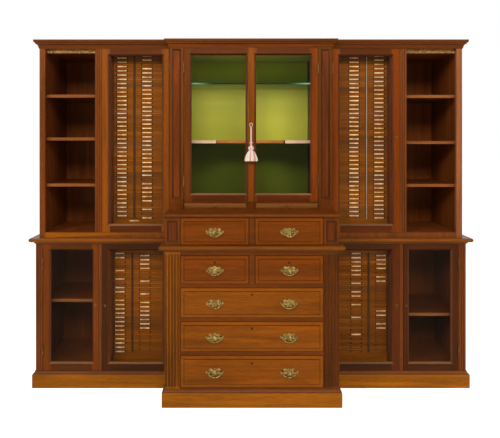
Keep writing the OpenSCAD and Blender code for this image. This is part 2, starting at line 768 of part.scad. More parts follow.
module left_book_pane() on_side(true) bay_pane(book_door, book_sight);
module right_book_pane() on_side(false) bay_pane(book_door, book_sight);

// Centre doors: the right one carries the wide meeting stile with its astragal
meet_x = meeting_narrow_w;
left_case = [meet_x + run_gap, case_door[1], case_door[2], case_door[3], top_y];
right_case = [-meet_x, case_door[1], case_door[2], case_door[3], top_y];
left_sight = sight(left_case, meeting_narrow_w - glass_mould_w, plain_stile);
right_sight = sight(right_case, wide_meeting_w - glass_mould_w, plain_stile);
astragal_t = 5;
module left_case_door() on_side(true) color(wood) {
    glazed_frame(left_case, left_sight);
    hinge_set(left_case, pil_x - hinge_gap / 2, false, false);
}
module right_case_door() color(wood) {
    difference() {
        glazed_frame(right_case, right_sight);
        key_bore();
    }
    difference() {
        board(-meet_x, meet_x, top_y - astragal_t, top_y - fit, right_case[2], right_case[3]);
        key_bore();
    }
    hinge_set(right_case, pil_x - hinge_gap / 2, false, false);
}
module left_case_pane() on_side(true) bay_pane(left_case, left_sight);
module right_case_pane() bay_pane(right_case, right_sight);

// Drawers: fielded front, two sides, back and bottom
margin_rise = 2;
field_step = 1;
side_inset = 1;
side_drop = 10;
back_drop = 14;
module fielded_front(x0, x1, z0, z1, yf) {
    board(x0, x1, yf, yf + front_t, z0, z1);
    tapered_block(x0, x1, z0, z1, yf, yf - margin_rise, field_margin);
    m = field_margin + field_step;
    board(x0 + m, x1 - m, yf - field_rise, yf, z0 + m, z1 - m);
}
module drawer(x0, x1, z0, z1, yf, depth) {
    t = drawer_side_t;
    y0 = yf + front_t + fit;
    y1 = yf + depth;
    in_x0 = x0 + side_inset + t;
    in_x1 = x1 - side_inset - t;
    fielded_front(x0, x1, z0, z1, yf);
    board(in_x0 - t, in_x0, y0, y1, z0, z1 - side_drop);
    board(in_x1, in_x1 + t, y0, y1, z0, z1 - side_drop);
    board(in_x0 + fit, in_x1 - fit, y1 - t, y1, z0 + drawer_bottom_t + fit, z1 - back_drop);
    board(in_x0 + fit, in_x1 - fit, y0, y1, z0, z0 + drawer_bottom_t);
}
low_drawer_depth = 560;
frieze_drawer_depth = 560;
seat = fit;
function drawer_span(i) = [drawer_z[i] + seat, (i == 3 ? short_top : drawer_z[i + 1] - rail_h) - run_gap];
module long_drawer(i) {
    color(wood_light) {
        z = drawer_span(i);
        drawer(-pil_x + run_gap, pil_x - run_gap, z[0], z[1], low_y, low_drawer_depth);
    }
}
module short_drawer() {
    z = drawer_span(3);
    color(wood_light)
        drawer(divider_w / 2 + run_gap, pil_x - run_gap, z[0], z[1], low_y, low_drawer_depth);
}
frieze_span = [waist_top_z + seat, frieze_top - run_gap];
module frieze_drawer() {
    z = frieze_span;
    color(wood_light)
        drawer(divider_w / 2 + run_gap, pil_x - run_gap, z[0], z[1], low_y, frieze_drawer_depth);
}
module frieze_drawer_left() on_side(true) frieze_drawer();
module frieze_drawer_right() on_side(false) frieze_drawer();
module short_drawer_left() on_side(true) short_drawer();
module short_drawer_right() on_side(false) short_drawer();
module long_drawer_top() long_drawer(2);
module long_drawer_middle() long_drawer(1);
module long_drawer_bottom() long_drawer(0);

// Handle: shaped and pierced plate, two bored posts and a bail hung from their outer sides
plate_w = 100;
plate_rise = 22;
plate_fall = 27;
plate_t = 1.6;
post_r = 4.4;
post_l = 12;
bail_y = 9;
face_y = low_y - field_rise;
module both_sides(x, y, r) {
    for (k = [-1, 1]) translate([k * x, y]) circle(r = r, $fn = 32);
}
module plate_outline() {
    w = plate_w / 2;
    tip_z = -plate_fall * 0.12;
    sweep = plate_fall + tip_z;
    r = (w * w + sweep * sweep) / (2 * sweep);
    difference() {
        union() {
            intersection() {
                translate([0, r - plate_fall]) circle(r = r, $fn = 96);
                translate([-w, -plate_fall]) square([2 * w, sweep]);
            }
            translate([0, tip_z - 0.01])
                scale([w * 0.86, (plate_rise - tip_z) * 0.78]) circle(r = 1, $fn = 96);
            translate([0, plate_rise - w * 0.2]) circle(r = w * 0.2, $fn = 32);
            both_sides(w * 0.46, plate_rise * 0.5, w * 0.19);
            both_sides(w * 0.85, tip_z + w * 0.05, w * 0.15);
        }
        both_sides(w * 0.26, plate_rise * 0.98, w * 0.09);
        both_sides(w * 0.4, -plate_fall - 1, w * 0.1);
        both_sides(w * 0.82, -plate_fall * 0.74, w * 0.12);
        both_sides(w * 0.26, plate_rise * 0.1, w * 0.07);
        both_sides(w * 0.3, -plate_fall * 0.45, w * 0.09);
        translate([0, -plate_fall * 0.68]) circle(r = w * 0.08, $fn = 32);
        translate([0, plate_rise * 0.5]) circle(r = w * 0.06, $fn = 32);
    }
}
module handle_plate(x, z) {
    translate([x, 0, z]) along_y(face_y - fit - plate_t, face_y - fit) plate_outline();
    for (k = [-1, 1]) {
        difference() {
            translate([x + k * post_gap / 2, face_y - 2 * fit - plate_t, z]) rotate([90, 0, 0])
                cylinder(r = post_r, h = post_l);
            translate([x + k * (post_gap / 2 + post_r + 1), bail_axis_y, z]) rotate([0, -k * 90, 0])
                cylinder(r = pivot_r + pin_clear, h = post_r + 2.5);
        }
    }
}
keyhole_r = 6;
module keyhole(x, z) {
    translate([x, face_y - fit, z]) rotate([90, 0, 0]) cylinder(r = keyhole_r, h = lock_t);
}
bail_axis_y = face_y - plate_t - bail_y;
bail_clear = 2.3;
eye_extra = 0.9;
module bail(x, z) {
    half = post_gap / 2 + post_r + bail_r + bail_clear;
    r = (half * half + bail_drop * bail_drop) / (2 * bail_drop);
    a = asin(half / r);
    color(brass) translate([x, bail_axis_y, z]) {
        translate([0, 0, r - bail_drop]) rotate([90, 0, 0]) rotate([0, 0, -90 - a])
            rotate_extrude(angle = 2 * a, $fn = 96) translate([r, 0]) circle(r = bail_r, $fn = 20);
        for (k = [-1, 1]) {
            translate([k * half, 0, 0]) sphere(r = bail_r + eye_extra, $fn = 24);
            translate([k * half, 0, 0]) rotate([0, -k * 90, 0])
                cylinder(r = pivot_r, h = half - post_gap / 2);
        }
    }
}
function mid(span) = (span[0] + span[1]) / 2;
handle_z = concat([for (i = [0:3]) mid(drawer_span(i))], [mid(frieze_span)]);
long_key_rise = 47;
short_key_rise = 41;
module plates_frieze_right() color(brass) handle_plate(handle_x, handle_z[4]);
module plates_frieze_left() on_side(true) plates_frieze_right();
module plates_short_right() color(brass) {
    handle_plate(handle_x, handle_z[3]);
    keyhole(handle_x, handle_z[3] + short_key_rise);
}
module plates_short_left() on_side(true) plates_short_right();
module long_plates(i) color(brass) {
    pair() handle_plate(handle_x, handle_z[i]);
    keyhole(0, handle_z[i] + long_key_rise);
}
module plates_long_top() long_plates(2);
module plates_long_middle() long_plates(1);
module plates_long_bottom() long_plates(0);
module bail_frieze_left() on_side(true) bail(handle_x, handle_z[4]);
module bail_frieze_right() bail(handle_x, handle_z[4]);
module bail_short_left() on_side(true) bail(handle_x, handle_z[3]);
module bail_short_right() bail(handle_x, handle_z[3]);
module bail_top_left() on_side(true) bail(handle_x, handle_z[2]);
module bail_top_right() bail(handle_x, handle_z[2]);
module bail_middle_left() on_side(true) bail(handle_x, handle_z[1]);
module bail_middle_right() bail(handle_x, handle_z[1]);
module bail_bottom_left() on_side(true) bail(handle_x, handle_z[0]);
module bail_bottom_right() bail(handle_x, handle_z[0]);

// Pull-out slides under the glazed doors, each with a small turned knob
slide_mid = 28;
slide_board_t = 14;
slide_depth = 380;
slide_knob_r = 5.5;
slide_knob_l = 6;
slide_neck_l = 8;
slide_front_t = 18;
slide_field_rise = 3;
slide_field_margin = 6;
module slide_board() color(wood) {
    x0 = slide_mid + run_gap;
    x1 = pil_x - run_gap;
    z0 = ledge_top + slide_rail_h + fit;
    z1 = case_floor - case_floor_t - run_gap;
    board(x0, x1, top_y, top_y + slide_front_t, z0, z1);
    tapered_block(x0, x1, z0, z1, top_y, top_y - slide_field_rise, slide_field_margin);
    board(x0 + side_inset, x1 - side_inset, top_y + slide_front_t, top_y + slide_depth,
        z0, z0 + slide_board_t);
    translate([(x0 + x1) / 2, top_y - slide_field_rise - fit, (z0 + z1) / 2]) rotate([90, 0, 0]) {
        cylinder(r = slide_knob_r * 0.6, h = slide_neck_l);
        translate([0, 0, slide_neck_l]) cylinder(r = slide_knob_r, h = slide_knob_l);
    }
}
module slide_left() on_side(true) slide_board();
module slide_right() slide_board();

// Key in the lock of the right door, turned about its own length
key_x = 0;
key_z = 1577;
key_y = top_y - astragal_t;
key_in = 14;
key_shank_r = 2.6;
key_clear = 0.3;
bow_r = 11;
bow_t = 3.4;
shank_out = 28;
key_end_gap = 1;
bow_lap = 2;
collar_r = 4;
collar_l = 3;
module key_bore() {
    translate([key_x, top_y + key_in, key_z]) rotate([90, 0, 0])
        cylinder(r = key_shank_r + key_clear, h = key_in + astragal_t + 5);
}
module door_key() color(brass) {
    in_l = key_in - key_end_gap;
    translate([key_x, top_y + in_l, key_z]) rotate([90, 0, 0])
        cylinder(r = key_shank_r, h = in_l + astragal_t + shank_out);
    translate([key_x - bow_t / 2, key_y - shank_out - bow_r + bow_lap, key_z]) rotate([0, 90, 0])
        cylinder(r = bow_r, h = bow_t);
    translate([key_x, key_y - shank_out + collar_r, key_z]) rotate([90, 0, 0])
        cylinder(r = collar_r, h = collar_l);
}

// Cord of the tassel: both strands and the loop over the key, as offsets in x and z from the key
cord_off = 21;
tassel_y = key_y - cord_off;
cord_r = 2;
cord_sides = 8;
strand_x = 2.5;
cord_in = 48;
strand_low = -tassel_cord_l - cord_in;
strand_high = -26;
strand_steps = 8;
strand = [for (i = [0:strand_steps]) [-strand_x, strand_low + i * (strand_high - strand_low) / strand_steps]];
loop_half = [[-2.9, -22], [-4.1, -17], [-5.9, -12], [-7.4, -7.5], [-8, -3], [-7.6, -0.5], [-6.5, 1.7],
    [-4.7, 3.5], [-2.5, 4.6]];
half_route = concat(strand, loop_half);
half_n = len(half_route);
route = concat(half_route, [[0, 5]], [for (i = [half_n - 1:-1:0]) [-half_route[i][0], half_route[i][1]]]);
route_n = len(route);
function unit(v) = v / norm(v);
function tangent(i) = (i == 0 || i == route_n - 1) ? [0, i == 0 ? 1 : -1] : unit(route[i + 1] - route[i - 1]);
cord_points = [for (i = [0:route_n - 1]) let (p = route[i], t = tangent(i))
    for (k = [0:cord_sides - 1]) let (a = 360 * k / cord_sides)
        [p[0] - cord_r * cos(a) * t[1], cord_r * sin(a), p[1] + cord_r * cos(a) * t[0]]];
cord_walls = [for (i = [0:route_n - 2]) for (k = [0:cord_sides - 1]) let (m = (k + 1) % cord_sides)
    each [
        [i * cord_sides + k, i * cord_sides + m, (i + 1) * cord_sides + m],
        [i * cord_sides + k, (i + 1) * cord_sides + m, (i + 1) * cord_sides + k]
    ]];
cord_ends = [for (k = [1:cord_sides - 2]) each [
    [0, k + 1, k],
    [(route_n - 1) * cord_sides, (route_n - 1) * cord_sides + k, (route_n - 1) * cord_sides + k + 1]]];
module tassel_cord() color("#d9b3a6")
    translate([key_x, tassel_y, key_z])
        polyhedron(points = cord_points, faces = concat(cord_walls, cord_ends));

// Tassel: rings of [height below its top, half width, half depth], with a slot for the two strands
tassel_top = key_z - tassel_cord_l;
tassel_sides = 32;
tassel_rings = [[0, 7, 6], [2, 8.5, 8], [6, 9.5, 9.5], [10, 8, 8], [13, 6.5, 5], [22, 6.5, 5], [25, 9, 9],
    [30, 15, 12], [36, 18, 14], [43, 17, 13], [48, 13, 10], [52, 12, 9], [57, 19, 12], [66, 25, 14],
    [80, 32, 17], [96, 38, 18], [108, 40, 18], [114, 39.5, 18]];
ring_n = len(tassel_rings);
tassel_points = [for (g = tassel_rings) for (k = [0:tassel_sides - 1]) let (a = 360 * k / tassel_sides)
    [g[1] * cos(a), g[2] * sin(a), -g[0]]];
tassel_walls = [for (i = [0:ring_n - 2]) for (k = [0:tassel_sides - 1]) let (m = (k + 1) % tassel_sides)
    each [
        [i * tassel_sides + k, i * tassel_sides + m, (i + 1) * tassel_sides + m],
        [i * tassel_sides + k, (i + 1) * tassel_sides + m, (i + 1) * tassel_sides + k]
    ]];
tassel_caps = [[for (k = [tassel_sides - 1:-1:0]) k],
    [for (k = [0:tassel_sides - 1]) (ring_n - 1) * tassel_sides + k]];
strand_clear = 0.3;
module strand_slot() {
    r = cord_r + strand_clear;
    w = 2 * (strand_x + r);
    translate([-w / 2, -r, -cord_in - strand_clear]) cube([w, 2 * r, cord_in + 1]);
}
module tassel() color("#e8cfc0") translate([key_x, tassel_y, tassel_top]) difference() {
    polyhedron(points = tassel_points, faces = concat(tassel_walls, tassel_caps));
    strand_slot();
}

plinths();
lower_wing_carcases();
centre_carcases();
waist_tops();
upper_wing_carcases();
upper_centre_carcase();
cornice();
pilasters();
wooden_shelves();
glass_shelf();
baize_lining();
slide_trays();
tray_labels();
dust_fringes();
hinge_leaves();
left_case_door();
left_case_pane();
right_case_door();
right_case_pane();
upper_left_tray_door();
upper_left_tray_pane();
upper_right_tray_door();
upper_right_tray_pane();
lower_left_tray_door();
lower_left_tray_pane();
lower_right_tray_door();
lower_right_tray_pane();
left_book_door();
left_book_pane();
right_book_door();
right_book_pane();
frieze_drawer_left();
frieze_drawer_right();
short_drawer_left();
short_drawer_right();
long_drawer_top();
long_drawer_middle();
long_drawer_bottom();
bail_frieze_left();
bail_frieze_right();
bail_short_left();
bail_short_right();
bail_top_left();
bail_top_right();
bail_middle_left();
bail_middle_right();
bail_bottom_left();
bail_bottom_right();
plates_frieze_left();
plates_frieze_right();
plates_short_left();
plates_short_right();
plates_long_top();
plates_long_middle();
plates_long_bottom();
slide_left();
slide_right();
door_key();
tassel_cord();
tassel();
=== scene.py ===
import math

import bmesh
import bpy
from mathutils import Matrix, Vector


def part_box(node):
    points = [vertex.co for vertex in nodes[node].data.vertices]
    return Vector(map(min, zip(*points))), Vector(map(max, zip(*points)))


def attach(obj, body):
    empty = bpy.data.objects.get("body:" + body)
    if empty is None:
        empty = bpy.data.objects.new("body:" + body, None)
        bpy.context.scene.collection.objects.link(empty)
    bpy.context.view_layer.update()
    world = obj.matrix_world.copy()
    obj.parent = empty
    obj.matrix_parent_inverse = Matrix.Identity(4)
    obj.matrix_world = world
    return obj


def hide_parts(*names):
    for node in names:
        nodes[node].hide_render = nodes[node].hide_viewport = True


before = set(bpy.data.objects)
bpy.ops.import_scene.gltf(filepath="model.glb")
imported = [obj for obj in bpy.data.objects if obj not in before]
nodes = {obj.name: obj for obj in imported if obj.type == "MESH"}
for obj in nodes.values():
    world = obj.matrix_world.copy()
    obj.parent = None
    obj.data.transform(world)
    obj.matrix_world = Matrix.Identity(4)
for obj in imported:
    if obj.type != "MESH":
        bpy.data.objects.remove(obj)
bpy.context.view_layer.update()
scene = bpy.context.scene

# Lengths are in metres, but for the camera's lens and where a comment says millimetres
MM = 0.001

# Camera: level, 3 m in front of the wings, a little left of the middle
CAMERA_PLACE = (-0.083, -3.09, 1.482)
camera_data = bpy.data.cameras.new("camera")
camera_data.sensor_fit = "HORIZONTAL"
camera_data.sensor_width = 36.0
camera_data.lens = 36.0
camera_data.shift_x = 0.026
camera_data.shift_y = -0.158
camera = bpy.data.objects.new("camera", camera_data)
camera.location = CAMERA_PLACE
camera.rotation_euler = (math.radians(90), 0, 0)
scene.collection.objects.link(camera)
scene.camera = camera

# Cord of the tassel, on the route of part.scad: up the left strand, over the key's shank, down the right one.
# Offsets are in millimetres from the key. Both strands run on inside the tassel's head, where the knot is
KEY = Vector((0.0, -0.146, 1.577))
CORD_DROP = 106
CORD_IN = 48
CORD_D = 0.004
STRAND_X = -2.5
STRAND_TOP = -26
STRAND_STEPS = 8
SHANK_TOP = (0, 5)
strand_low = -CORD_DROP - CORD_IN
strand_step = (STRAND_TOP - strand_low) / STRAND_STEPS
strand = [(STRAND_X, strand_low + i * strand_step) for i in range(STRAND_STEPS + 1)]
over_key = [(-2.9, -22), (-4.1, -17), (-5.9, -12), (-7.4, -7.5), (-8, -3), (-7.6, -0.5), (-6.5, 1.7),
            (-4.7, 3.5), (-2.5, 4.6)]
left_half = strand + over_key
route = left_half + [SHANK_TOP] + [(-x, z) for x, z in reversed(left_half)]
route_points = [KEY + Vector((x * MM, 0, z * MM)) for x, z in route]
cord_curve = bpy.data.curves.new("key_cord", "CURVE")
cord_curve.dimensions = "3D"
cord_curve.bevel_depth = CORD_D / 2
cord_curve.bevel_resolution = 3
cord_curve.use_fill_caps = True
spline = cord_curve.splines.new("POLY")
spline.points.add(len(route_points) - 1)
for point, place in zip(spline.points, route_points):
    point.co = (*place, 1.0)
cord_piece = bpy.data.objects.new("key_cord", cord_curve)
scene.collection.objects.link(cord_piece)


# Helpers for materials

WHITE = (1, 1, 1, 1)


def srgb(r, g, b):
    def one(c):
        c /= 255.0
        return c / 12.92 if c <= 0.04045 else ((c + 0.055) / 1.055) ** 2.4
    return (one(r), one(g), one(b), 1.0)


def new_material(name):
    mat = bpy.data.materials.new(name)
    mat.use_nodes = True
    tree = mat.node_tree
    return mat, tree, tree.nodes["Principled BSDF"]


def add(tree, kind, **props):
    """New node. A property that is also the name of an input sets that input."""
    node = tree.nodes.new(kind)
    for key, value in props.items():
        if key in node.inputs:
            node.inputs[key].default_value = value
        else:
            setattr(node, key, value)
    return node


def link(tree, a, out, b, inp):
    tree.links.new(a.outputs[out], b.inputs[inp])


def object_coords(tree):
    return add(tree, "ShaderNodeTexCoord").outputs["Object"]


def split_xyz(tree, coords):
    node = add(tree, "ShaderNodeSeparateXYZ")
    tree.links.new(coords, node.inputs[0])
    return node.outputs


def ramp(tree, fac, stops):
    """Colour ramp of fac, with stops as (position, colour)."""
    node = tree.nodes.new("ShaderNodeValToRGB")
    elements = node.color_ramp.elements
    while len(elements) < len(stops):
        elements.new(0.5)
    for element, (pos, colour) in zip(elements, stops):
        element.position = pos
        element.color = colour
    tree.links.new(fac, node.inputs["Fac"])
    return node.outputs["Color"]


def math_node(tree, op, a, b=None, c=None):
    node = add(tree, "ShaderNodeMath", operation=op)
    for i, v in enumerate((a, b, c)):
        if v is None:
            continue
        if isinstance(v, (int, float)):
            node.inputs[i].default_value = v
        else:
            tree.links.new(v, node.inputs[i])
    return node.outputs[0]


def map_range(tree, value, **limits):
    node = add(tree, "ShaderNodeMapRange")
    for key, limit in limits.items():
        node.inputs[key.replace("_", " ")].default_value = limit
    tree.links.new(value, node.inputs["Value"])
    return node.outputs["Result"]


def noise(tree, coords, scale_xyz, detail=4.0, distortion=0.0, rough=0.5):
    mapping = add(tree, "ShaderNodeMapping")
    mapping.inputs["Scale"].default_value = scale_xyz
    tree.links.new(coords, mapping.inputs["Vector"])
    node = add(tree, "ShaderNodeTexNoise", Scale=1.0, Detail=detail, Distortion=distortion, Roughness=rough)
    link(tree, mapping, "Vector", node, "Vector")
    return node.outputs["Fac"]


def even(scale):
    return (scale, scale, scale)


def mix_colour(tree, fac, a, b, blend="MIX"):
    node = add(tree, "ShaderNodeMix", data_type="RGBA", blend_type=blend)
    if isinstance(fac, (int, float)):
        node.inputs[0].default_value = fac
    else:
        tree.links.new(fac, node.inputs[0])
    for slot, v in ((6, a), (7, b)):
        if isinstance(v, tuple):
            node.inputs[slot].default_value = v
        else:
            tree.links.new(v, node.inputs[slot])
    return node.outputs[2]


def multiply(tree, a, b, fac=1.0):
    return mix_colour(tree, fac, a, b, "MULTIPLY")


def add_bump(tree, bsdf, height, strength, distance):
    bump = add(tree, "ShaderNodeBump", Strength=strength, Distance=distance)
    tree.links.new(height, bump.inputs["Height"])
    link(tree, bump, "Normal", bsdf, "Normal")


def between(tree, value, low, high):
    return math_node(tree, "MULTIPLY", math_node(tree, "GREATER_THAN", value, low),
                     math_node(tree, "LESS_THAN", value, high))


def frame_mask(tree, place, rect, width):
    """1 on a line of this width just inside a rectangle (x0, x1, z0, z1), seen from the front."""
    x0, x1, z0, z1 = rect
    outer = math_node(tree, "MULTIPLY", between(tree, place["X"], x0, x1), between(tree, place["Z"], z0, z1))
    inner = math_node(tree, "MULTIPLY", between(tree, place["X"], x0 + width, x1 - width),
                      between(tree, place["Z"], z0 + width, z1 - width))
    return math_node(tree, "SUBTRACT", outer, inner)


# Wood. Each pair is waves per metre along and across the grain

FIGURE = (1.3, 24.0)
PORES = (22.0, 620.0)
DRIFT = (0.9, 3.1)
FIGURE_STOPS = (0.30, 0.50, 0.72)
POLISH = 0.32
TRAY_POLISH = 0.45
MATT = 0.8
POLISH_SPECULAR = 0.16
POLISH_TINT = (1.0, 0.6, 0.3, 1.0)


def axis_scale(axis, along, across):
    return {"X": (along, across, across), "Y": (across, along, across), "Z": (across, across, along)}[axis]


def wood_colour(tree, coords, axis, tone):
    """Bands of figure, darker pore streaks and a slow drift of tone, all drawn out along the grain."""
    figure = noise(tree, coords, axis_scale(axis, *FIGURE), detail=7.0, distortion=1.1, rough=0.55)
    bands = ramp(tree, figure, list(zip(FIGURE_STOPS, tone)))
    pores = noise(tree, coords, axis_scale(axis, *PORES), detail=2.0)
    streaks = ramp(tree, pores, [(0.36, (0.62, 0.57, 0.54, 1)), (0.52, WHITE)])
    slow = noise(tree, coords, axis_scale(axis, *DRIFT), detail=3.0, distortion=0.4)
    drift = ramp(tree, slow, [(0.30, (0.80, 0.77, 0.74, 1)), (0.68, (1.10, 1.09, 1.06, 1))])
    return multiply(tree, multiply(tree, bands, streaks, fac=0.75), drift), pores


def finish_wood(mat, tree, bsdf, coords, colour, pores, rough=POLISH):
    """Old polish: worn a little unevenly, with the pores still open and a warm, weak reflection."""
    tree.links.new(colour, bsdf.inputs["Base Color"])
    add_bump(tree, bsdf, pores, strength=0.25, distance=0.0004)
    wear = noise(tree, coords, even(5.0), detail=4.0)
    tree.links.new(map_range(tree, wear, To_Min=rough - 0.07, To_Max=rough + 0.12), bsdf.inputs["Roughness"])
    bsdf.inputs["Specular IOR Level"].default_value = POLISH_SPECULAR
    bsdf.inputs["Specular Tint"].default_value = POLISH_TINT
    return mat


def wood(name, axis, tone, rails=None, rail_tone=None, rough=POLISH):
    """Polished wood. Between the two x of rails the grain runs along X and the tone is rail_tone."""
    mat, tree, bsdf = new_material(name)
    coords = object_coords(tree)
    colour, pores = wood_colour(tree, coords, axis, tone)
    if rails:
        across, _ = wood_colour(tree, coords, "X", rail_tone)
        colour = mix_colour(tree, between(tree, split_xyz(tree, coords)["X"], *rails), colour, across)
    return finish_wood(mat, tree, bsdf, coords, colour, pores, rough)


MARGIN_W = 0.021
LINE_W = 0.0036
OLD_POLISH_AND_SHADE_LINE = (0.35, 0.32, 0.34, 1)


def drawer_wood(name, tone, margin_tone, rect):
    """Drawer front: a lighter margin round the field, and a dark line where the two meet and round the
    front's edge: old polish and painted shade.
    """
    mat, tree, bsdf = new_material(name)
    coords = object_coords(tree)
    place = split_xyz(tree, coords)
    field, pores = wood_colour(tree, coords, "X", tone)
    border, _ = wood_colour(tree, coords, "X", margin_tone)
    colour = mix_colour(tree, frame_mask(tree, place, rect, MARGIN_W), field, border)
    x0, x1, z0, z1 = rect
    inset = MARGIN_W - LINE_W / 2
    # Dark lines at the edge of the field and of the front: old polish and painted shade
    for edge in ((x0 + inset, x1 - inset, z0 + inset, z1 - inset), rect):
        colour = multiply(tree, colour, OLD_POLISH_AND_SHADE_LINE, frame_mask(tree, place, edge, LINE_W))
    return finish_wood(mat, tree, bsdf, coords, colour, pores)


def tones(r, g, b, spread=0.16):
    """Dark, middle and light tone of one wood."""
    return tuple(srgb(*(min(255, c * k) for c in (r, g, b))) for k in (1 - spread, 1.0, 1 + spread))


# Palette of the wood: each joiner's piece was cut from its own board
CASE = tones(92, 43, 8)
WARM = tones(122, 61, 10)
RED = tones(104, 47, 10)
GOLDEN_RED = tones(120, 51, 4)
RAIL = tones(80, 32, 6)
DEEP = tones(74, 36, 10)
BOOK_RIGHT = tones(62, 25, 6)
DARK = tones(55, 23, 6)
CEDAR = tones(137, 74, 5)
UPPER_DRAWER = tones(105, 48, 4)
LOWER_DRAWER = tones(124, 64, 8)
UPPER_MARGIN = tones(111, 53, 5, 0.1)
LOWER_MARGIN = tones(127, 66, 8, 0.1)

case_x = wood("wood_case_x", "X", CASE)
case_z = wood("wood_case_z", "Z", CASE)
warm_z = wood("wood_warm_z", "Z", WARM)
# Dark wood along X is painted shade in the keyholes
keyhole_shade_x = wood("wood_keyhole_painted_shade", "X", DARK)
# Dark wood along Z is painted shade: flutes and rims of the pilasters, and mouldings that face down
shade_z = wood("wood_painted_shade_z", "Z", DARK)
sill_gold = wood("wood_sill", "X", CEDAR)
waist_x = wood("wood_waist", "X", tones(111, 59, 14))
plinth_x = wood("wood_plinth", "X", tones(143, 81, 10))
mould_x = wood("wood_plinth_moulding", "X", tones(100, 54, 24))
slide_x = wood("wood_slides", "X", tones(114, 70, 32))
wing_z = wood("wood_wings", "Z", tones(108, 54, 20))
wing_right = wood("wood_wing_right", "Z", tones(138, 82, 48))
flame_z = wood("wood_flame", "Z", tones(98, 42, 9, 0.28))
land_z = wood("wood_lands", "Z", tones(134, 73, 12))
# Lands of the fluted pilasters on the right, in painted shade
land_in_shade = wood("wood_lands_painted_shade", "Z", tones(92, 44, 9))
# Painted light on the mouldings round the panes: a highlight where they face up, half shade where they face
# sideways
bevel_highlit = wood("wood_bevel_painted_highlight", "X", tones(118, 80, 52))
bevel_half_shade = wood("wood_bevel_painted_half_shade", "Z", tones(90, 50, 30))
# The pale edge of the display shelf's ends is a painted highlight
shelf_highlit = wood("wood_shelf_edge_painted_highlight", "X", tones(214, 182, 150, 0.08))
shelf_orange = wood("wood_shelf_edge_orange", "X", tones(196, 122, 60, 0.08))
shelf_worn = wood("wood_shelf_edge_worn", "X", tones(126, 72, 34))
back_z = wood("wood_back_boards", "Z", tones(112, 74, 42), rough=MATT)
dusty_x = wood("wood_unpolished_top", "X", CASE, rough=MATT)


# Brass, glass, cloth and the other materials

def brass_material(name, *colours):
    """Old brass, rougher where the patina is dark."""
    mat, tree, bsdf = new_material(name)
    patina = noise(tree, object_coords(tree), even(90.0), detail=5.0)
    tree.links.new(ramp(tree, patina, list(zip((0.30, 0.52, 0.76), colours))), bsdf.inputs["Base Color"])
    tree.links.new(map_range(tree, patina, To_Min=0.42, To_Max=0.24), bsdf.inputs["Roughness"])
    add_bump(tree, bsdf, patina, strength=0.2, distance=0.0003)
    bsdf.inputs["Metallic"].default_value = 0.9
    return mat


def glass_material(name, colour, alpha, rough):
    mat, tree, bsdf = new_material(name)
    ripple = noise(tree, object_coords(tree), (4.0, 4.0, 3.0), detail=2.0)
    add_bump(tree, bsdf, ripple, strength=0.03, distance=0.002)
    bsdf.inputs["Base Color"].default_value = colour
    bsdf.inputs["Alpha"].default_value = alpha
    bsdf.inputs["Roughness"].default_value = rough
    bsdf.inputs["Specular IOR Level"].default_value = 0.1
    return mat


def edge_material():
    """Polished edge of the shelf: a dark green line, bright near its ends, where light comes through."""
    mat, tree, bsdf = new_material("glass_edge_green")
    coords = object_coords(tree)
    reach = math_node(tree, "ABSOLUTE", split_xyz(tree, coords)["X"])
    cloudy = math_node(tree, "SUBTRACT", noise(tree, coords, even(30.0), detail=2.0), 0.5)
    along = math_node(tree, "MULTIPLY_ADD", cloudy, 0.06, reach)
    tone = ramp(tree, along, [(0.22, srgb(8, 34, 26)), (0.27, srgb(28, 92, 70)), (0.34, srgb(120, 206, 168)),
                              (0.40, srgb(186, 236, 210))])
    tree.links.new(tone, bsdf.inputs["Base Color"])
    bsdf.inputs["Roughness"].default_value = 0.2
    bsdf.inputs["Specular IOR Level"].default_value = 0.1
    return mat


BAIZE_LOW, BAIZE_HIGH = 1.10, 2.03


def baize_material():
    """Olive woollen cloth with painted light by height: paler in the middle bay between the two shelves,
    where the light falls.
    """
    mat, tree, bsdf = new_material("baize_cloth")
    coords = object_coords(tree)
    height = map_range(tree, split_xyz(tree, coords)["Z"], From_Min=BAIZE_LOW, From_Max=BAIZE_HIGH)
    # Painted light: the bright band from z 1.47 to 1.858 is the light in the middle bay, and the cloth is
    # darker above and below it
    colours = [
        (BAIZE_LOW, srgb(80, 88, 16)), (1.455, srgb(104, 112, 20)),
        (1.47, srgb(206, 206, 70)), (1.60, srgb(216, 214, 78)),
        (1.80, srgb(220, 220, 90)), (1.858, srgb(210, 214, 82)),
        (1.866, srgb(130, 148, 34)), (1.95, srgb(160, 176, 38)), (BAIZE_HIGH, srgb(156, 162, 34)),
    ]
    tone = ramp(tree, height, [((z - BAIZE_LOW) / (BAIZE_HIGH - BAIZE_LOW), colour) for z, colour in colours])
    nap = noise(tree, coords, even(900.0), detail=3.0)
    nap_tone = ramp(tree, nap, [(0.3, (0.80, 0.80, 0.80, 1)), (0.7, (1.1, 1.1, 1.1, 1))])
    cloudy = noise(tree, coords, even(3.0), detail=3.0)
    cloudy_tone = ramp(tree, cloudy, [(0.3, (0.92, 0.95, 0.90, 1)), (0.7, (1.06, 1.03, 1.05, 1))])
    tree.links.new(multiply(tree, multiply(tree, tone, nap_tone), cloudy_tone), bsdf.inputs["Base Color"])
    add_bump(tree, bsdf, nap, strength=0.12, distance=0.0003)
    bsdf.inputs["Roughness"].default_value = 0.95
    bsdf.inputs["Specular IOR Level"].default_value = 0.05
    bsdf.inputs["Sheen Weight"].default_value = 0.05
    return mat


# Banks of trays: pitch, lower edge of the lowest tray and number of trays. BANK_SPLIT_Z lies between the
# upper and the lower banks
PITCH = 13.17 * MM
UPPER_Z, LOWER_Z = 0.9945, 0.169
UPPER_N, LOWER_N = 77, 47
BANK_SPLIT_Z = 0.9
JOINT_SHADE = (0.18, 0.14, 0.10, 1)
SIDE_SEED, UPPER_SEED = 311.0, 1000.0


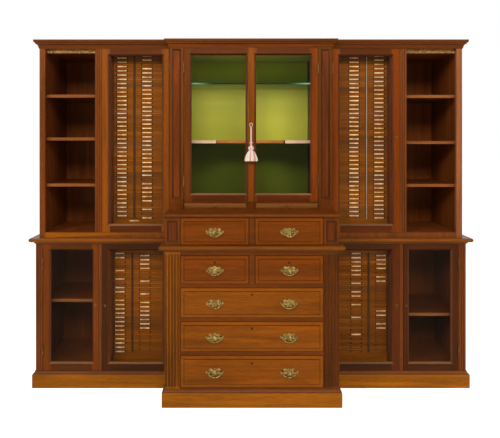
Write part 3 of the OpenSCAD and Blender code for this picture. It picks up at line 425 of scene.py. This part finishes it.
def tray_material():
    """Golden cedar: each tray a little different, with a fine dark joint above and below."""
    mat, tree, bsdf = new_material("tray_cedar")
    coords = object_coords(tree)
    place = split_xyz(tree, coords)
    colour, pores = wood_colour(tree, coords, "X", CEDAR)
    upper = math_node(tree, "GREATER_THAN", place["Z"], BANK_SPLIT_Z)
    start = math_node(tree, "MULTIPLY_ADD", upper, UPPER_Z - LOWER_Z, LOWER_Z)
    rows = math_node(tree, "DIVIDE", math_node(tree, "SUBTRACT", place["Z"], start), PITCH)
    bank = math_node(tree, "MULTIPLY_ADD", math_node(tree, "SIGN", place["X"]), SIDE_SEED,
                     math_node(tree, "MULTIPLY", upper, UPPER_SEED))
    own = add(tree, "ShaderNodeTexWhiteNoise", noise_dimensions="1D")
    tree.links.new(math_node(tree, "ADD", bank, math_node(tree, "FLOOR", rows)), own.inputs["W"])
    tint = ramp(tree, own.outputs["Value"], [(0.0, (0.72, 0.68, 0.62, 1)), (1.0, (1.14, 1.12, 1.08, 1))])
    joint = ramp(tree, math_node(tree, "FRACT", rows),
                 [(0.0, JOINT_SHADE), (0.10, WHITE), (0.76, WHITE), (0.92, JOINT_SHADE)])
    colour = multiply(tree, multiply(tree, colour, tint), joint)
    return finish_wood(mat, tree, bsdf, coords, colour, pores, TRAY_POLISH)


def speckled(name, colours, scale, rough, bump_strength=0.2, specular=0.3):
    """Material mottled between three tones of one colour."""
    mat, tree, bsdf = new_material(name)
    grain = noise(tree, object_coords(tree), even(scale), detail=4.0)
    tree.links.new(ramp(tree, grain, list(zip((0.32, 0.52, 0.72), colours))), bsdf.inputs["Base Color"])
    add_bump(tree, bsdf, grain, strength=bump_strength, distance=0.0003)
    bsdf.inputs["Roughness"].default_value = rough
    bsdf.inputs["Specular IOR Level"].default_value = specular
    return mat


THREADS = 130.0
STRIPES = 5.0


def silk_material():
    """Silk threads that run down the tassel, with stripes of pink and cream round it."""
    mat, tree, bsdf = new_material("silk_striped")
    place = split_xyz(tree, object_coords(tree))
    turned = math_node(tree, "ARCTAN2", math_node(tree, "SUBTRACT", place["Y"], KEY.y),
                       math_node(tree, "SUBTRACT", place["X"], KEY.x))
    wave = math_node(tree, "SINE", math_node(tree, "MULTIPLY_ADD", turned, STRIPES, 1.57))
    bands = ramp(tree, math_node(tree, "MULTIPLY_ADD", wave, 0.5, 0.5),
                 [(0.22, srgb(206, 122, 124)), (0.36, srgb(226, 196, 180)), (0.56, srgb(232, 222, 200)),
                  (0.80, srgb(206, 206, 178))])
    threads = math_node(tree, "SINE", math_node(tree, "MULTIPLY", turned, THREADS))
    shade = ramp(tree, math_node(tree, "MULTIPLY_ADD", threads, 0.5, 0.5),
                 [(0.0, (0.78, 0.76, 0.74, 1)), (1.0, (1.05, 1.05, 1.05, 1))])
    tree.links.new(multiply(tree, bands, shade), bsdf.inputs["Base Color"])
    add_bump(tree, bsdf, threads, strength=0.5, distance=0.0005)
    bsdf.inputs["Roughness"].default_value = 0.55
    bsdf.inputs["Sheen Weight"].default_value = 0.4
    return mat


def cord_material():
    """Twisted silk: slanting bands along the cord."""
    mat, tree, bsdf = new_material("cord_silk")
    twist = add(tree, "ShaderNodeTexWave", wave_type="BANDS", bands_direction="DIAGONAL", Scale=160.0,
                Distortion=0.5)
    tree.links.new(object_coords(tree), twist.inputs["Vector"])
    wave = twist.outputs["Fac"]
    bands = ramp(tree, wave, [(0.35, srgb(196, 140, 120)), (0.6, srgb(232, 214, 190))])
    tree.links.new(bands, bsdf.inputs["Base Color"])
    add_bump(tree, bsdf, wave, strength=0.6, distance=0.0006)
    bsdf.inputs["Roughness"].default_value = 0.6
    return mat


brass = brass_material("brass_aged", srgb(78, 58, 26), srgb(126, 102, 50), srgb(176, 150, 92))
brass_dull = brass_material("brass_dull", srgb(58, 40, 20), srgb(98, 72, 38), srgb(140, 110, 66))
pane_glass = glass_material("glass_pane", (0.02, 0.03, 0.025, 1), alpha=0.05, rough=0.03)
shelf_glass = glass_material("glass_shelf_green", (0.05, 0.22, 0.12, 1), alpha=0.08, rough=0.05)
edge_glass = edge_material()
baize = baize_material()
card_ivory = speckled("card_ivory", (srgb(172, 118, 66), srgb(228, 182, 122), srgb(252, 222, 174)),
                      scale=34.0, rough=0.6)
bone = speckled("bone_turned", (srgb(222, 194, 156), srgb(242, 222, 190), srgb(254, 242, 220)),
                scale=300.0, rough=0.35)
# The same bone knobs in painted shade
bone_in_shade = speckled("bone_turned_painted_shade", (srgb(84, 52, 24), srgb(118, 76, 36), srgb(154, 108, 58)),
                scale=300.0, rough=0.45, specular=0.1)
# Ebonised ends of the card holders, and the strips of painted shadow behind the knobs
holder_and_shadow_dark = speckled("holder_ebonised_and_knob_shadow", (srgb(24, 12, 4), srgb(38, 20, 7), srgb(56, 30, 12)),
                       scale=200.0, rough=0.8, specular=0.02)
gilt = speckled("gilt_leather", (srgb(52, 30, 10), srgb(136, 90, 30), srgb(196, 144, 62)),
                scale=110.0, rough=0.55, bump_strength=0.5)


# Materials of the CAD nodes. FACING is the least share of a normal that counts as facing one way, and what
# slopes has a share of Y between the two of SLOPE

FACING = 0.9
SLOPE = (0.05, 0.97)
WING_FRONT, CASE_FRONT, LOW_FRONT = -0.090, -0.120, -0.310


def dress(obj, mat):
    """Gives one material to a whole object."""
    obj.data.materials.clear()
    obj.data.materials.append(mat)


def give(obj, mat, test):
    """Gives a material to the polygons of an object whose centre and normal pass the test."""
    mats = obj.data.materials
    if mat.name not in mats:
        mats.append(mat)
    slot = mats.find(mat.name)
    for poly in obj.data.polygons:
        if test(poly.center, poly.normal):
            poly.material_index = slot


def faces_front(n):
    return n.y < -FACING


def sloping(n):
    return SLOPE[0] < abs(n.y) < SLOPE[1]


MAIN_MATERIAL = {
    "plinths": plinth_x,
    "waist_tops": waist_x,
    "wooden_shelves": case_x,
    "cornice": case_x,
    "centre_carcases": case_x,
    "upper_centre_carcase": case_z,
    "lower_wing_carcases": wing_z,
    "upper_wing_carcases": wing_z,
    "pilasters": case_z,
    "slide_trays": tray_material(),
    "slide_left": slide_x,
    "slide_right": slide_x,
    "glass_shelf": shelf_glass,
    "baize_lining": baize,
    "dust_fringes": gilt,
    "hinge_leaves": brass_dull,
    "door_key": brass,
}
for name, mat in MAIN_MATERIAL.items():
    dress(nodes[name], mat)
for name in nodes:
    if name.startswith(("bail_", "plates_")):
        dress(nodes[name], brass)
    if name.endswith("_pane"):
        dress(nodes[name], pane_glass)

# Drawers: the margin and the dark line follow each front's own size
for name in nodes:
    if "_drawer" in name:
        lo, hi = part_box(name)
        high = "frieze" in name or "short" in name
        pair = (UPPER_DRAWER, UPPER_MARGIN) if high else (LOWER_DRAWER, LOWER_MARGIN)
        dress(nodes[name], drawer_wood("wood_" + name, *pair, (lo.x, hi.x, lo.z, hi.z)))

# Keyholes: the discs of the lower drawers, dark with painted shade, stand at the top of the nodes of their
# plates
KEYHOLE_D = 0.0122
for name in nodes:
    if name.startswith("plates_") and "frieze" not in name:
        keyhole_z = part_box(name)[1].z - KEYHOLE_D
        give(nodes[name], keyhole_shade_x, lambda c, n: c.z > keyhole_z)

# Slides: a small brass knob in front of each board
SLIDE_KNOB_Y = CASE_FRONT - 0.0032
for name in ("slide_left", "slide_right"):
    give(nodes[name], brass_dull, lambda c, n: c.y < SLIDE_KNOB_Y)

# Shelves: the display shelf in the case stands forward at its two ends, which have the paler edge, a painted
# highlight
CASE_SHELF_Z = (1.462, 1.480)
CASE_SHELF_STEP_Y = -0.03
CASE_HALF_W = 0.4
OPEN_BAY_X = 0.9
shelves = nodes["wooden_shelves"]


def on_case_shelf_edge(c, n):
    return faces_front(n) and CASE_SHELF_Z[0] < c.z < CASE_SHELF_Z[1] and abs(c.x) < CASE_HALF_W


give(shelves, shelf_highlit, lambda c, n: on_case_shelf_edge(c, n) and c.y < CASE_SHELF_STEP_Y)
give(shelves, shelf_orange, lambda c, n: on_case_shelf_edge(c, n) and c.y > CASE_SHELF_STEP_Y)
give(shelves, shelf_worn, lambda c, n: faces_front(n) and abs(c.x) > OPEN_BAY_X)
give(nodes["glass_shelf"], edge_glass, lambda c, n: faces_front(n))

# Golden boards: the sill and the head of each bank of trays, flush with the fronts of the trays, and the
# bottom board of the left open bay
SILL_SLACK = 0.0005
BAY_BOTTOM_Z = (0.902, 0.927)
LEFT_BAY_X = -0.93
for name in ("upper_wing_carcases", "lower_wing_carcases"):
    give(nodes[name], sill_gold, lambda c, n: faces_front(n) and abs(c.y) < SILL_SLACK)
give(nodes["upper_wing_carcases"], sill_gold,
     lambda c, n: faces_front(n) and BAY_BOTTOM_Z[0] < c.z < BAY_BOTTOM_Z[1] and c.x < LEFT_BAY_X)

# Plinth moulding, and the soffit of the case, which is lined with baize
PLINTH_BOARD_Z = 0.0805
SOFFIT_Z = 1.98
give(nodes["plinths"], mould_x, lambda c, n: c.z > PLINTH_BOARD_Z)
give(nodes["upper_centre_carcase"], baize, lambda c, n: n.z < -FACING and c.z > SOFFIT_Z)

# Unpolished wood: the back boards, and the top of the cornice
BACK_FACE_Y = 0.328
BACKED = ("plinths", "centre_carcases", "upper_centre_carcase", "lower_wing_carcases", "upper_wing_carcases",
          "cornice")
for name in BACKED:
    give(nodes[name], back_z, lambda c, n: n.y > FACING and c.y > BACK_FACE_Y)
give(nodes["cornice"], dusty_x, lambda c, n: n.z > FACING)

# Pilasters: their node holds the strips and stiles of the wings too. The fluted pilasters below the waist are
# golden on the left and darker on the right: light and shade painted on the two sides. Flutes and rims slope
# and are painted dark as shade, and sunk panels are figured
WING_STRIP_X = 0.49
END_STILE_X = 1.21
FLUTED_Y = LOW_FRONT + 0.024
FLUTED_TOP_Z = 0.86
PILASTER_X = 0.486
SINK = 0.005
SINK_SLACK = 0.0004
pilasters = nodes["pilasters"]


def is_fluted(c):
    return c.y < FLUTED_Y and c.z < FLUTED_TOP_Z


def on_panel(c):
    return min(abs(c.y - front - SINK) for front in (CASE_FRONT, LOW_FRONT)) < SINK_SLACK


give(pilasters, wing_z, lambda c, n: abs(c.x) > WING_STRIP_X)
give(pilasters, wing_right, lambda c, n: c.x > END_STILE_X and c.z > BANK_SPLIT_Z)
give(pilasters, land_z, lambda c, n: is_fluted(c) and c.x < 0)
give(pilasters, land_in_shade, lambda c, n: is_fluted(c) and c.x > 0)
give(pilasters, shade_z, lambda c, n: sloping(n) and abs(c.x) < PILASTER_X)
give(pilasters, flame_z, lambda c, n: n.y < -SLOPE[1] and on_panel(c))

# Doors: hinge line x, front y, tone of the stiles, tone of the rails
DOORS = {
    "left_case_door": (-0.3985, CASE_FRONT, CASE, RAIL),
    "right_case_door": (0.3985, CASE_FRONT, GOLDEN_RED, RAIL),
    "upper_left_tray_door": (-0.4903, WING_FRONT, WARM, RAIL),
    "upper_right_tray_door": (0.4903, WING_FRONT, GOLDEN_RED, RAIL),
    "lower_left_tray_door": (-0.4903, WING_FRONT, DARK, DARK),
    "lower_right_tray_door": (0.4903, WING_FRONT, RAIL, DARK),
    "left_book_door": (-1.2465, WING_FRONT, RED, DEEP),
    "right_book_door": (1.2465, WING_FRONT, BOOK_RIGHT, BOOK_RIGHT),
}
PANE_LAP = 0.0068
HINGE_REACH = 0.0016
HINGE_BAND = 0.005
PROUD = 0.0001
ASTRAGAL_HALF = 0.0172
LEANING = 0.2


def dress_door(name, axis_x, front_y, stile_tone, rail_tone):
    """Frame with the grain of its stiles and rails, moulding round the pane with painted light and shade,
    astragal, and brass fittings.
    """
    pane_lo, pane_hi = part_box(name.replace("_door", "_pane"))
    rails = (pane_lo.x + PANE_LAP, pane_hi.x - PANE_LAP)
    door = nodes[name]
    dress(door, wood("wood_" + name, "Z", stile_tone, rails, rail_tone))

    def on_moulding(c, n):
        return sloping(n) and c.y > front_y and abs(c.x - axis_x) > HINGE_BAND

    def on_astragal(c):
        return name == "right_case_door" and abs(c.x) < ASTRAGAL_HALF

    # Painted light and shade on the moulding: shade where it faces down, a highlight where it faces up, half
    # shade at the sides
    give(door, shade_z, lambda c, n: on_moulding(c, n) and n.z < -LEANING)
    give(door, bevel_highlit, lambda c, n: on_moulding(c, n) and n.z > LEANING)
    give(door, bevel_half_shade, lambda c, n: on_moulding(c, n) and abs(n.z) < LEANING)
    give(door, warm_z, lambda c, n: c.y < front_y and on_astragal(c))
    give(door, brass_dull, lambda c, n: c.y < front_y - PROUD and not on_astragal(c))
    give(door, brass_dull, lambda c, n: abs(c.x - axis_x) < HINGE_REACH)


for name, settings in DOORS.items():
    dress_door(name, *settings)


# Tray furniture: knobs on a dark strip of painted shadow, cards in their holders, and holders that have lost
# their card

def add_box(bm, lo, hi, bevel):
    made = bmesh.ops.create_cube(bm, size=1.0)["verts"]
    for v in made:
        v.co = Vector([lo[i] + (v.co[i] + 0.5) * (hi[i] - lo[i]) for i in range(3)])
    edges = list({e for v in made for e in v.link_edges})
    bmesh.ops.bevel(bm, geom=edges, offset=bevel, segments=1, affect="EDGES")


def join_rings(bm, rings):
    """Closed skin over rings of vertices that all have the same number of sides."""
    sides = len(rings[0])
    for one, two in zip(rings, rings[1:]):
        for k in range(sides):
            m = (k + 1) % sides
            bm.faces.new((one[k], one[m], two[m], two[k]))
    bm.faces.new(list(reversed(rings[0])))
    bm.faces.new(rings[-1])


def add_knob(bm, centre, profile, sides):
    """Turned shape about an axis that points along -Y: profile is [(distance out, radius)]."""
    rings = []
    for out, radius in profile:
        ring = []
        for k in range(sides):
            a = 2 * math.pi * k / sides
            x = centre[0] + radius * math.cos(a)
            z = centre[2] + radius * math.sin(a)
            ring.append(bm.verts.new((x, centre[1] - out, z)))
        rings.append(ring)
    join_rings(bm, rings)


def finish_mesh(bm, name, mat, smooth=False):
    bmesh.ops.recalc_face_normals(bm, faces=bm.faces)
    mesh = bpy.data.meshes.new(name)
    bm.to_mesh(mesh)
    bm.free()
    mesh.materials.append(mat)
    for poly in mesh.polygons:
        poly.use_smooth = smooth
    obj = bpy.data.objects.new(name, mesh)
    scene.collection.objects.link(obj)
    return obj


# The fronts of the trays are at y 0, and each OUT is measured forward from there. HALF_GAP is half the gap
# between two trays
TRAY_X0, TRAY_W = 0.5153, 0.329
UPPER_KNOB_X, LOWER_KNOB_X = TRAY_X0 + TRAY_W * 0.612, TRAY_X0 + TRAY_W * 0.652
COLUMN = TRAY_W * 0.234
HALF_GAP = 0.00015
AIR = 0.0003
CARD_W, CARD_H, CARD_OUT = 0.058, 0.0078, 0.0013
CARD_BEVEL = 0.0003
HOLDER_W, HOLDER_H, HOLDER_OUT = 0.0066, 0.0104, 0.0022
HOLDER_BEVEL = 0.0008
HOLDER_STEP = 0.0034
# The strip under each knob is painted shadow of the knobs
STRIP_W, STRIP_OUT, STRIP_GAP = 0.0125, 0.0009, 0.0002
STRIP_BEVEL = 0.0002
KNOB_FOOT = 0.0008
KNOB_SIDES = 10
KNOB_PROFILE = [(0, 0.0012), (0.0012, 0.0014), (0.0022, 0.0031), (0.0032, 0.0034), (0.0040, 0.0023)]
# Rows, counted from the top of a column, that have lost their card in the upper left bank, and those that
# still have one in the two lower banks. The key is the side and the column
LOST = {(-1, 0): {2, 29, 35, 37}}
KEPT = {
    (1, 0): {0, 1, 2, 3, 4, 5, 7, 9, 10, 12, 15, 19},
    (1, 1): {0, 1, 2, 3, 5, 6, 13, 14, 16, 17},
    (-1, 0): {0, 1, 2, 3, 6, 9, *range(11, 18)},
    (-1, 1): {0, 1, 4, 6, 8, 9, *range(11, 24)},
}
# Lower edge of the lowest tray, number of trays, x of the knobs, and whether it is a lower bank
BANKS = ((UPPER_Z, UPPER_N, UPPER_KNOB_X, False), (LOWER_Z, LOWER_N, LOWER_KNOB_X, True))
cards = bmesh.new()
knobs = bmesh.new()
holder_and_shadow_boxes = bmesh.new()


def add_front(bm, x, z, width, height, out, bevel, back=-AIR):
    """Flat piece on the trays' fronts, centred on x and z, from y back to y minus out."""
    add_box(bm, (x - width / 2, -out, z - height / 2), (x + width / 2, back, z + height / 2), bevel)


def has_card(side, column, row, lower):
    if lower:
        return row in KEPT[(side, column)]
    return row not in LOST.get((side, column), ())


def furnish_tray(side, column, row, z, knob_x, lower):
    """Knob, its strip of painted shadow, card and the two ends of its holder on one tray's front."""
    x = side * (knob_x + (COLUMN if column else -COLUMN))
    if has_card(side, column, row, lower):
        add_front(cards, x, z, CARD_W, CARD_H, CARD_OUT, CARD_BEVEL)
    for end in (-1, 1):
        end_x = x + end * (CARD_W / 2 + HOLDER_STEP)
        add_front(holder_and_shadow_boxes, end_x, z, HOLDER_W, HOLDER_H, HOLDER_OUT, HOLDER_BEVEL)
    # Strip of painted shadow behind the knob
    add_front(holder_and_shadow_boxes, side * knob_x, z, STRIP_W, PITCH - 2 * STRIP_GAP, STRIP_OUT, STRIP_BEVEL)
    add_knob(knobs, (side * knob_x, -KNOB_FOOT, z), KNOB_PROFILE, KNOB_SIDES)


for side in (-1, 1):
    for first_z, count, knob_x, lower in BANKS:
        first_column = int(lower == (side < 0))
        for i in range(count):
            z = first_z + (i + 0.5) * PITCH - HALF_GAP
            furnish_tray(side, (i + first_column) % 2, (count - 1 - i) // 2, z, knob_x, lower)

# One card was put on the sill of the upper left bank
SILL_CARD_X, SILL_CARD_Z = -0.718, 0.983
SILL_CARD_BACK = 0.0002
add_front(cards, SILL_CARD_X, SILL_CARD_Z, CARD_W, CARD_H, CARD_OUT, CARD_BEVEL, SILL_CARD_BACK)

cards_piece = finish_mesh(cards, "tray_cards", card_ivory)
knobs_piece = finish_mesh(knobs, "tray_knobs", bone, smooth=True)
# Knobs of the left banks and of the lower right bank: the bone knobs in painted shade
give(knobs_piece, bone_in_shade, lambda c, n: c.x < 0 or c.z < BANK_SPLIT_Z)
holder_and_shadow_piece = finish_mesh(holder_and_shadow_boxes, "tray_card_holders_and_knob_shadows", holder_and_shadow_dark)
for piece, slot_name in ((cards_piece, "bone"), (knobs_piece, "bone"), (holder_and_shadow_piece, "brass")):
    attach(piece, "case")
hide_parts("tray_labels")

# Tassel: bead, neck, ruff and a skirt of silk threads. Each row is the drop from the top, half the width and
# half the depth, in millimetres
TASSEL_TOP = KEY.z - CORD_DROP * MM
TASSEL_ROWS = [
    (0, 6, 6), (2, 8, 8), (6, 9.5, 9.5), (10, 8, 8), (13, 5, 5), (22, 5, 5), (25, 9, 9), (30, 15, 12),
    (36, 18, 14), (43, 17, 13), (48, 13, 10), (52, 12, 9), (57, 19, 12), (66, 25, 14), (80, 32, 17),
    (96, 38, 18), (108, 40, 18), (114, 39.5, 18),
]
RING_SIDES = 144
STEPS = 4
PLEATS = 36
PLEAT_DEPTH = 0.035
PLEAT_START, PLEAT_RISE = 24, 30.0
HEM_START, HEM_WAVE = 113, 0.8


def row_at(t):
    """Row number t of the tassel, eased between two rows."""
    i = min(int(t), len(TASSEL_ROWS) - 2)
    f = t - i
    f = f * f * (3 - 2 * f)
    return [TASSEL_ROWS[i][k] + (TASSEL_ROWS[i + 1][k] - TASSEL_ROWS[i][k]) * f for k in range(3)]


def tassel_ring(bm, drop, half_w, half_d):
    """One pleated ring of the tassel. The last ring is the wavy hem."""
    pleat = PLEAT_DEPTH * min(1.0, max(0.0, (drop - PLEAT_START) / PLEAT_RISE))
    ring = []
    for k in range(RING_SIDES):
        a = 2 * math.pi * k / RING_SIDES
        r = 1 - pleat * (0.5 + 0.5 * math.cos(PLEATS * a))
        x = KEY.x + half_w * r * math.cos(a) * MM
        y = KEY.y + half_d * r * math.sin(a) * MM
        low = drop - HEM_WAVE + HEM_WAVE * math.sin(PLEATS * a + 1.0) if drop > HEM_START else drop
        ring.append(bm.verts.new((x, y, TASSEL_TOP - low * MM)))
    return ring


tassel_mesh = bmesh.new()
ring_count = (len(TASSEL_ROWS) - 1) * STEPS + 1
join_rings(tassel_mesh, [tassel_ring(tassel_mesh, *row_at(step / STEPS)) for step in range(ring_count)])
tassel_piece = finish_mesh(tassel_mesh, "key_tassel", silk_material(), smooth=True)
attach(tassel_piece, "right_case_door")
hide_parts("tassel")

cord_curve.materials.append(cord_material())
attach(cord_piece, "right_case_door")
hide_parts("tassel_cord")


# Floor, world and lamps

FLOOR_LIFT = 0.74
FLOOR_REACH = 30.0
FLOOR_DROP = 0.0005
AMBIENT = 0.36


def seen_directly(tree):
    """1 for what the camera sees, also in a mirror or through glass."""
    path = add(tree, "ShaderNodeLightPath")
    mirrored = math_node(tree, "MAXIMUM", path.outputs["Is Camera Ray"], path.outputs["Is Glossy Ray"])
    return math_node(tree, "MAXIMUM", mirrored, path.outputs["Is Transmission Ray"])


def floor_material():
    """Matt pale floor that keeps the shadow, lifted to the background's white where the camera sees it."""
    mat, tree, bsdf = new_material("floor_pale")
    soft = noise(tree, object_coords(tree), even(2.0), detail=2.0)
    tone = ramp(tree, soft, [(0.3, (0.80, 0.80, 0.80, 1)), (0.7, (0.82, 0.82, 0.82, 1))])
    tree.links.new(tone, bsdf.inputs["Base Color"])
    bsdf.inputs["Roughness"].default_value = 0.9
    bsdf.inputs["Specular IOR Level"].default_value = 0.0
    bsdf.inputs["Emission Color"].default_value = WHITE
    lift = math_node(tree, "MULTIPLY", seen_directly(tree), FLOOR_LIFT)
    tree.links.new(lift, bsdf.inputs["Emission Strength"])
    return mat


floor_mesh = bpy.data.meshes.new("floor")
floor_corners = [(x * FLOOR_REACH, y * FLOOR_REACH, 0) for x, y in ((-1, -1), (1, -1), (1, 1), (-1, 1))]
floor_mesh.from_pydata(floor_corners, [], [(0, 1, 2, 3)])
floor_mesh.materials.append(floor_material())
floor = bpy.data.objects.new("floor", floor_mesh)
scene.collection.objects.link(floor)
floor.location.z = -FLOOR_DROP

world = bpy.data.worlds.new("studio")
world.use_nodes = True
scene.world = world
world_tree = world.node_tree
background = world_tree.nodes["Background"]
background.inputs["Color"].default_value = WHITE
strength = add(world_tree, "ShaderNodeMix", data_type="FLOAT")
strength.inputs[2].default_value = AMBIENT
strength.inputs[3].default_value = 1.0
world_tree.links.new(seen_directly(world_tree), strength.inputs[0])
world_tree.links.new(strength.outputs[0], background.inputs["Strength"])


def area_lamp(name, place, aim, width, height, power):
    data = bpy.data.lights.new(name, "AREA")
    data.shape = "RECTANGLE"
    data.size = width
    data.size_y = height
    data.energy = power
    obj = bpy.data.objects.new(name, data)
    obj.location = place
    obj.rotation_euler = (Vector(aim) - Vector(place)).to_track_quat("-Z", "Y").to_euler()
    scene.collection.objects.link(obj)


area_lamp("key_lamp", place=(-3.8, -4.4, 4.4), aim=(0.0, 0.0, 1.0), width=2.4, height=2.0, power=190.0)
area_lamp("fill_lamp", place=(4.8, -3.8, 3.0), aim=(0.2, 0.0, 1.0), width=2.0, height=2.4, power=100.0)
area_lamp("front_lamp", place=(0.0, -5.6, 4.4), aim=(0.0, 0.0, 1.2), width=3.2, height=1.4, power=210.0)

scene.view_settings.view_transform = "Standard"
